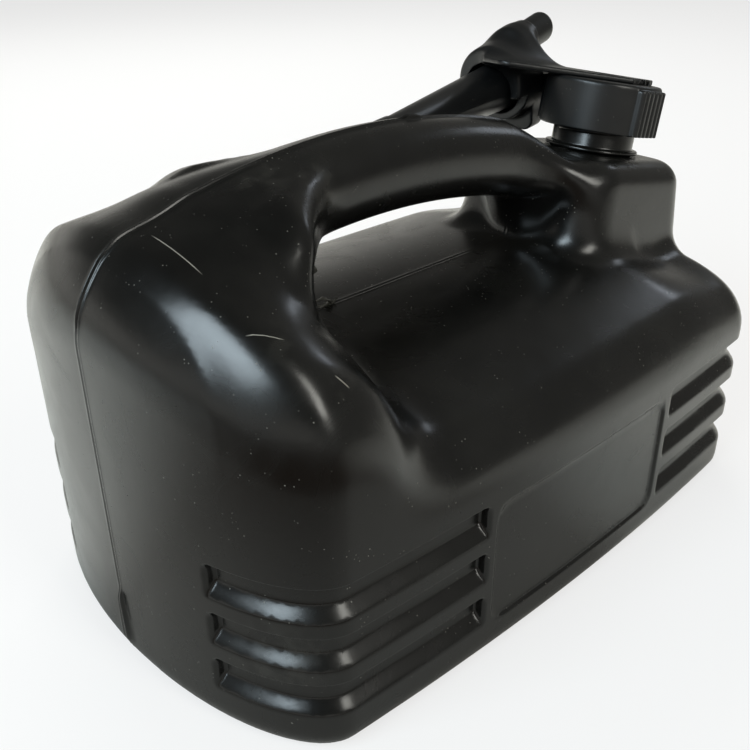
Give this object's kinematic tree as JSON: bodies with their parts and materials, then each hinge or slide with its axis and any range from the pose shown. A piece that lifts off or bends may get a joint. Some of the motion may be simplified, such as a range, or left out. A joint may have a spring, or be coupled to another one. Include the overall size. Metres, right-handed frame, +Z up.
{
  "type": "fuel can",
  "caption": "Squat blow-moulded plastic fuel can with a moulded-in handle, a screw cap on a leaning neck and a pouring spout stowed in a holder on the cap.",
  "frame": {"origin": "under the middle of the can's base, on the ground", "axes": "+X along the can towards the neck, +Z up, +Y towards the stowed spout's side"},
  "size_m": [0.285, 0.1766, 0.1832],
  "materials": {
    "can_body": "blow-moulded black polyethylene, satin, dusty",
    "screw_cap": "injection-moulded black polypropylene",
    "sealing_disc": "soft foamed polyethylene liner",
    "spout_holder": "injection-moulded black polypropylene",
    "pouring_spout": "black low-density polyethylene"
  },
  "bodies": {
    "can": {"can_body": "can_body"},
    "holder": {"spout_holder": "spout_holder"},
    "cap": {"screw_cap": "screw_cap", "sealing_disc": "sealing_disc"},
    "spout": {"pouring_spout": "pouring_spout"}
  },
  "joints": [
    {"name": "cap_lift", "type": "slide", "parent": "can", "child": "holder", "axis": [0.1908, 0, 0.9816], "range_m": [0, 0.009]},
    {"name": "cap_turn", "type": "hinge", "parent": "holder", "child": "cap", "pos_m": [0.1107, 0, 0.1338], "axis": [0.1908, 0, 0.9816], "range_deg": [0, 720]},
    {"name": "spout_pull", "type": "slide", "parent": "holder", "child": "spout", "axis": [-0.9907, -0.0867, -0.1045], "range_m": [0, 0.018]}
  ],
  "couplings": [
    {"joint": "cap_lift", "follows": "cap_turn", "m_per_rad": 0.000716}
  ]
}
